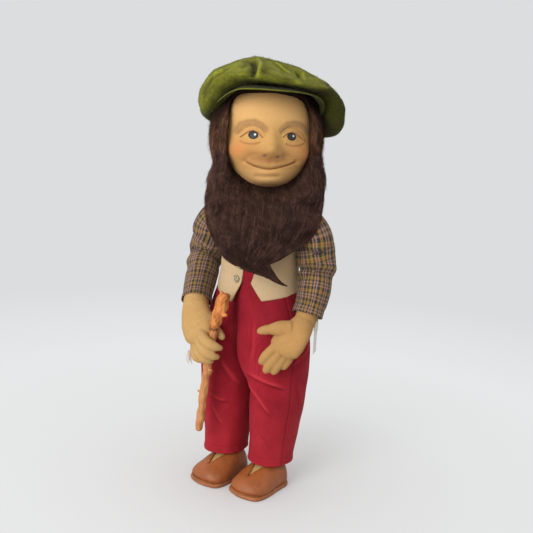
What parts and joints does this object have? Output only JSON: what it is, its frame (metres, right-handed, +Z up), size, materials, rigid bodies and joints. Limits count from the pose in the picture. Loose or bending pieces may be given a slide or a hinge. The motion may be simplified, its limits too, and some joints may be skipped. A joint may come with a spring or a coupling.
{
  "type": "bearded doll",
  "caption": "Standing disc-jointed felt doll of a bearded man in cap, tartan shirt, waistcoat, cord trousers and slip-on shoes, with a walking stick in the right fist.",
  "frame": {"origin": "on the floor under the middle of the doll, at the bottom centre of its bounding box", "axes": "+Z up through the doll, which stands facing -Y, with its own left side towards +X"},
  "size_m": [0.1702, 0.1544, 0.4452],
  "materials": {
    "skin_felt": "pressed golden-tan wool felt, fine short nap",
    "mohair": "dark brown brushed mohair, long curly pile",
    "cap_felt": "moss-green wool felt",
    "calico": "unbleached calico over a firm stuffing",
    "plaid_cotton": "brushed cotton in a tartan check of rust, mustard, green and navy",
    "waistcoat_felt": "cream wool felt, cut edges",
    "corduroy": "crimson fine-wale corduroy",
    "shoe_leather": "brown glove leather, soft sheen",
    "sole_leather": "tan leather board, cut edge",
    "stick_wood": "natural branch, thin reddish bark left on",
    "button_metal": "antique metal, worn",
    "hardboard": "raw hardboard disc",
    "joint_steel": "plain steel",
    "tag_card": "bare white card",
    "tag_thread": "white cotton thread"
  },
  "bodies": {
    "torso": {"torso_body": "calico", "shirt_body": "plaid_cotton", "shirt_collar": "plaid_cotton", "trousers_seat": "corduroy", "trousers_waistband": "corduroy", "waistcoat_front_right": "waistcoat_felt", "waistcoat_front_left": "waistcoat_felt", "waistcoat_back": "waistcoat_felt", "waistcoat_button": "button_metal", "neck_disc_inner": "hardboard", "neck_washer_inner": "joint_steel", "neck_pin": "joint_steel", "shoulder_right_disc_inner": "hardboard", "shoulder_right_washer_inner": "joint_steel", "shoulder_right_pin": "joint_steel", "shoulder_left_disc_inner": "hardboard", "shoulder_left_washer_inner": "joint_steel", "shoulder_left_pin": "joint_steel", "hip_right_disc_inner": "hardboard", "hip_right_washer_inner": "joint_steel", "hip_right_pin": "joint_steel", "hip_left_disc_inner": "hardboard", "hip_left_washer_inner": "joint_steel", "hip_left_pin": "joint_steel"},
    "head": {"head_felt": "skin_felt", "wig": "mohair", "beard": "mohair", "cap_crown": "cap_felt", "cap_visor": "cap_felt", "neck_disc_outer": "hardboard", "neck_washer_outer": "joint_steel"},
    "arm_right": {"arm_right": "skin_felt", "sleeve_right": "plaid_cotton", "shoulder_right_disc_outer": "hardboard", "shoulder_right_washer_outer": "joint_steel"},
    "arm_left": {"arm_left": "skin_felt", "sleeve_left": "plaid_cotton", "tag_card": "tag_card", "tag_string": "tag_thread", "shoulder_left_disc_outer": "hardboard", "shoulder_left_washer_outer": "joint_steel"},
    "leg_right": {"leg_right": "skin_felt", "trouser_leg_right": "corduroy", "shoe_upper_right": "shoe_leather", "shoe_sole_right": "sole_leather", "hip_right_disc_outer": "hardboard", "hip_right_washer_outer": "joint_steel"},
    "leg_left": {"leg_left": "skin_felt", "trouser_leg_left": "corduroy", "shoe_upper_left": "shoe_leather", "shoe_sole_left": "sole_leather", "hip_left_disc_outer": "hardboard", "hip_left_washer_outer": "joint_steel"},
    "stick": {"walking_stick": "stick_wood"}
  },
  "joints": [
    {"name": "neck_turn", "type": "hinge", "parent": "torso", "child": "head", "pos_m": [0.00187, -0.00211, 0.3122], "axis": [0, 0, 1], "range_deg": [-60, 20], "deforming": ["beard"]},
    {"name": "shoulder_right_swing", "type": "hinge", "parent": "torso", "child": "arm_right", "pos_m": [-0.03963, -0.00211, 0.282], "axis": [-1, 0, 0], "range_deg": [0, 90]},
    {"name": "shoulder_left_swing", "type": "hinge", "parent": "torso", "child": "arm_left", "pos_m": [0.04337, -0.00211, 0.282], "axis": [-1, 0, 0], "range_deg": [0, 90]},
    {"name": "hip_right_swing", "type": "hinge", "parent": "torso", "child": "leg_right", "pos_m": [-0.02558, -0.00211, 0.172], "axis": [-1, 0, 0], "range_deg": [-30, 10]},
    {"name": "hip_left_swing", "type": "hinge", "parent": "torso", "child": "leg_left", "pos_m": [0.02932, -0.00211, 0.172], "axis": [-1, 0, 0], "range_deg": [-30, 10]},
    {"name": "stick_slide", "type": "slide", "parent": "arm_right", "child": "stick", "axis": [0.1172, 0.0119, 0.993], "range_m": [-0.006, 0.006]}
  ]
}
